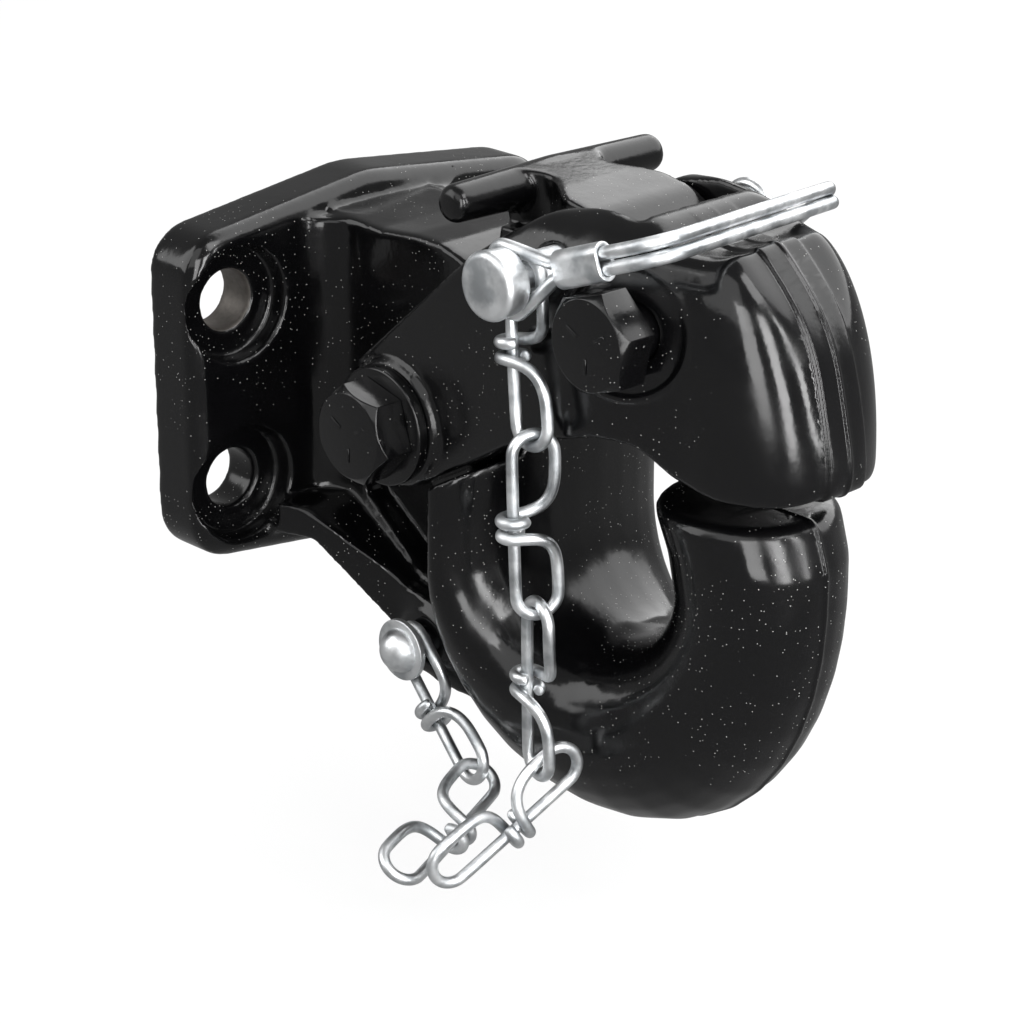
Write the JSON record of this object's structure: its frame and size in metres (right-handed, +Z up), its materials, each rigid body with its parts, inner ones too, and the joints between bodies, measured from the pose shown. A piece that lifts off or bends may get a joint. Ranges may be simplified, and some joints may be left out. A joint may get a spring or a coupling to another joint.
{
  "type": "pintle hook",
  "caption": "Forged pintle hook with a hinged jaw, a lock lever with a cross handle, a chained safety pin with a wire bail, and a bolt-on mounting plate.",
  "frame": {"origin": "centre of the bolt pattern on the plate's back face", "axes": "+X forward from the plate to the nose, +Z up, +Y across, away from the side with the chain"},
  "size_m": [0.1667, 0.1263, 0.1565],
  "materials": {
    "enamel": "gloss black enamel over a forged surface",
    "black_fasteners": "gloss black enamel on steel fasteners",
    "zinc": "bright zinc plating",
    "spring_steel": "oiled spring wire"
  },
  "bodies": {
    "hook": {"hook_body": "enamel", "chain_screw": "zinc", "chain_screw_washer": "zinc"},
    "jaw": {"jaw": "enamel", "jaw_pivot_bolt": "black_fasteners", "jaw_pivot_nut": "black_fasteners", "jaw_pivot_washers": "black_fasteners", "lock_pivot_bolt": "black_fasteners", "lock_pivot_nut": "black_fasteners", "lock_pivot_washer": "black_fasteners", "lock_spring": "spring_steel"},
    "lever": {"lock_lever": "enamel"},
    "pin": {"safety_pin": "zinc"},
    "bail": {"pin_bail": "zinc", "bail_ferrule": "zinc"},
    "link_1": {"chain_link_1": "zinc"},
    "link_2": {"chain_link_2": "zinc"},
    "link_3": {"chain_link_3": "zinc"},
    "link_4": {"chain_link_4": "zinc"},
    "link_5": {"chain_link_5": "zinc"},
    "link_6": {"chain_link_6": "zinc"}
  },
  "joints": [
    {"name": "jaw_hinge", "type": "hinge", "parent": "hook", "child": "jaw", "pos_m": [0.057, 0, 0.0015], "axis": [0, -1, 0], "range_deg": [0, 55]},
    {"name": "lock_lever_lift", "type": "hinge", "parent": "jaw", "child": "lever", "pos_m": [0.126, 0, 0.0385], "axis": [0, 1, 0], "range_deg": [0, 20]},
    {"name": "safety_pin_slide", "type": "slide", "parent": "jaw", "child": "pin", "axis": [0, -1, 0], "range_m": [0, 0.076], "deforming": ["pin_bail"]},
    {"name": "bail_swing", "type": "hinge", "parent": "pin", "child": "bail", "pos_m": [0.1045, 0, 0.0482], "axis": [0, -1, 0], "range_deg": [0, 75]},
    {"name": "chain_link_1_swing", "type": "hinge", "parent": "pin", "child": "link_1", "pos_m": [0.1045, 0, 0.0482], "axis": [0, -1, 0], "range_deg": [-2, 4]},
    {"name": "chain_link_2_swing", "type": "hinge", "parent": "link_1", "child": "link_2", "pos_m": [0.10956, -0.03864, 0.01142], "axis": [1, 0, 0], "range_deg": [-30, 0]},
    {"name": "chain_link_3_swing", "type": "hinge", "parent": "link_2", "child": "link_3", "pos_m": [0.11121, -0.03864, -0.02739], "axis": [0, -1, 0], "range_deg": [0, 25]},
    {"name": "chain_link_4_swing", "type": "hinge", "parent": "link_3", "child": "link_4", "pos_m": [0.11169, -0.03864, -0.06624], "axis": [1, 0, 0], "range_deg": [0, 50]},
    {"name": "chain_link_6_swing", "type": "hinge", "parent": "hook", "child": "link_6", "pos_m": [0.055, -0.02525, -0.057], "axis": [0, -1, 0], "range_deg": [-25, 2]},
    {"name": "chain_link_5_swing", "type": "hinge", "parent": "link_6", "child": "link_5", "pos_m": [0.08439, -0.03113, -0.07904], "axis": [0.6, 0, 0.8], "range_deg": [-20, 4]}
  ],
  "couplings": [
    {"joint": "lock_lever_lift", "follows": "jaw_hinge", "ratio": 0.36364}
  ]
}
